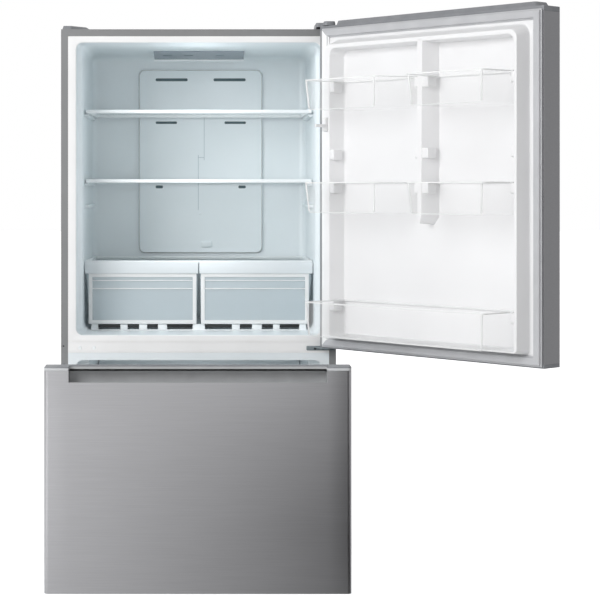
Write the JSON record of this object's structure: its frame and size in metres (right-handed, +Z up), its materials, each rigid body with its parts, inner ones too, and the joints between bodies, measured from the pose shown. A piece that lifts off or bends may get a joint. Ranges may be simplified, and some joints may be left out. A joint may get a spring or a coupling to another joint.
{
  "type": "bottom freezer refrigerator",
  "caption": "Free-standing refrigerator with a hinged fresh-food door above a pull-out freezer drawer, both shown open.",
  "frame": {"origin": "on the floor, below the middle of the whole object's box with the door and the drawer open as pictured", "axes": "+X to the right of someone facing the front, +Y from the front to the back, +Z up"},
  "size_m": [1.3902, 1.3926, 1.645],
  "materials": {
    "shell_steel": "grey painted steel, satin",
    "stainless": "fine brushed stainless steel, horizontal grain",
    "zinc_steel": "zinc-plated steel, semi-matt",
    "white_plastic": "white vacuum-formed plastic, semi-gloss",
    "cool_white_plastic": "white vacuum-formed plastic lit cool from inside, semi-gloss",
    "insulation": "cut rigid polyurethane foam, matt",
    "gasket_rubber": "soft grey magnetic gasket, matt",
    "clear_plastic": "clear moulded polystyrene, glossy",
    "shelf_glass": "tempered clear glass",
    "light_lens": "smoked light lens, glossy",
    "grey_plastic": "grey moulded plastic, satin",
    "black_plastic": "black moulded plastic, matt",
    "black_steel": "black painted steel, satin",
    "copper_tube": "bright copper tube, slightly dulled",
    "bare_aluminium": "bare aluminium fins"
  },
  "bodies": {
    "cabinet": {"cabinet_shell": "shell_steel", "back_panel": "shell_steel", "foam_body": "insulation", "fridge_liner": "cool_white_plastic", "freezer_liner": "cool_white_plastic", "centre_rail": "white_plastic", "base_frame": "shell_steel", "duct_cover": "cool_white_plastic", "ceiling_light": "light_lens", "shelf_rim_upper": "white_plastic", "shelf_glass_upper": "shelf_glass", "shelf_rim_lower": "white_plastic", "shelf_glass_lower": "shelf_glass", "crisper_cover_rim": "white_plastic", "crisper_cover_glass": "shelf_glass", "crisper_base": "white_plastic", "top_hinge": "zinc_steel", "top_hinge_cover": "grey_plastic", "blank_cover": "grey_plastic", "middle_hinge": "zinc_steel", "slide_fixed_left": "zinc_steel", "slide_fixed_right": "zinc_steel", "evaporator": "bare_aluminium", "evaporator_cover": "cool_white_plastic", "base_pan": "zinc_steel", "compressor": "black_steel", "condenser": "copper_tube", "drip_pan": "black_plastic", "condenser_shroud": "black_plastic", "rear_cover": "shell_steel"},
    "door": {"door_skin": "stainless", "door_top_cap": "grey_plastic", "door_bottom_cap": "grey_plastic", "door_foam": "insulation", "door_liner": "white_plastic", "door_gasket": "gasket_rubber", "door_bin_top_left": "clear_plastic", "door_bin_top_right": "clear_plastic", "door_bin_middle_left": "clear_plastic", "door_bin_middle_right": "clear_plastic", "door_bin_bottom": "clear_plastic"},
    "drawer": {"drawer_skin": "stainless", "drawer_top_cap": "grey_plastic", "drawer_foam": "insulation", "drawer_liner": "white_plastic", "drawer_gasket": "gasket_rubber", "drawer_basket": "clear_plastic", "drawer_rail_left": "zinc_steel", "drawer_rail_right": "zinc_steel"},
    "slide_middle_left": {"slide_middle_left": "zinc_steel"},
    "slide_middle_right": {"slide_middle_right": "zinc_steel"},
    "freezer_tray": {"freezer_tray": "clear_plastic"},
    "crisper_left": {"crisper_left": "clear_plastic"},
    "crisper_right": {"crisper_right": "clear_plastic"},
    "evaporator_fan": {"evaporator_fan": "black_plastic"},
    "condenser_fan": {"condenser_fan": "black_plastic"},
    "rear_roller_left": {"rear_roller_left": "black_plastic"},
    "rear_roller_right": {"rear_roller_right": "black_plastic"},
    "levelling_leg_left": {"levelling_leg_left": "black_plastic"},
    "levelling_leg_right": {"levelling_leg_right": "black_plastic"}
  },
  "joints": [
    {"name": "door_hinge", "type": "hinge", "parent": "cabinet", "child": "door", "pos_m": [0.12391, -0.01873, 1.147], "axis": [0, 0, 1], "range_deg": [-131.5, 4]},
    {"name": "drawer_slide", "type": "slide", "parent": "cabinet", "child": "drawer", "axis": [0, -1, 0], "range_m": [-0.47, 0.01]},
    {"name": "slide_middle_left_travel", "type": "slide", "parent": "cabinet", "child": "slide_middle_left", "axis": [0, -1, 0], "range_m": [-0.235, 0.005]},
    {"name": "slide_middle_right_travel", "type": "slide", "parent": "cabinet", "child": "slide_middle_right", "axis": [0, -1, 0], "range_m": [-0.235, 0.005]},
    {"name": "freezer_tray_slide", "type": "slide", "parent": "cabinet", "child": "freezer_tray", "axis": [0, -1, 0], "range_m": [0, 0.36]},
    {"name": "crisper_left_slide", "type": "slide", "parent": "cabinet", "child": "crisper_left", "axis": [0, -1, 0], "range_m": [0, 0.26]},
    {"name": "crisper_right_slide", "type": "slide", "parent": "cabinet", "child": "crisper_right", "axis": [0, -1, 0], "range_m": [0, 0.26]},
    {"name": "evaporator_fan_spin", "type": "hinge", "parent": "cabinet", "child": "evaporator_fan", "pos_m": [-0.27609, 0.53127, 0.54], "axis": [0, 1, 0], "continuous": true},
    {"name": "condenser_fan_spin", "type": "hinge", "parent": "cabinet", "child": "condenser_fan", "pos_m": [-0.24409, 0.60027, 0.128], "axis": [1, 0, 0], "continuous": true},
    {"name": "rear_roller_left_turn", "type": "hinge", "parent": "cabinet", "child": "rear_roller_left", "pos_m": [-0.62609, 0.62727, 0.018], "axis": [1, 0, 0], "continuous": true},
    {"name": "rear_roller_right_turn", "type": "hinge", "parent": "cabinet", "child": "rear_roller_right", "pos_m": [0.07391, 0.62727, 0.018], "axis": [1, 0, 0], "continuous": true},
    {"name": "levelling_leg_left_turn", "type": "hinge", "parent": "cabinet", "child": "levelling_leg_left", "pos_m": [-0.64809, 0.06927, 0.02], "axis": [0, 0, 1], "continuous": true},
    {"name": "levelling_leg_right_turn", "type": "hinge", "parent": "cabinet", "child": "levelling_leg_right", "pos_m": [0.09591, 0.06927, 0.02], "axis": [0, 0, 1], "continuous": true}
  ],
  "couplings": [
    {"joint": "slide_middle_left_travel", "follows": "drawer_slide", "ratio": 0.5},
    {"joint": "slide_middle_right_travel", "follows": "drawer_slide", "ratio": 0.5}
  ]
}
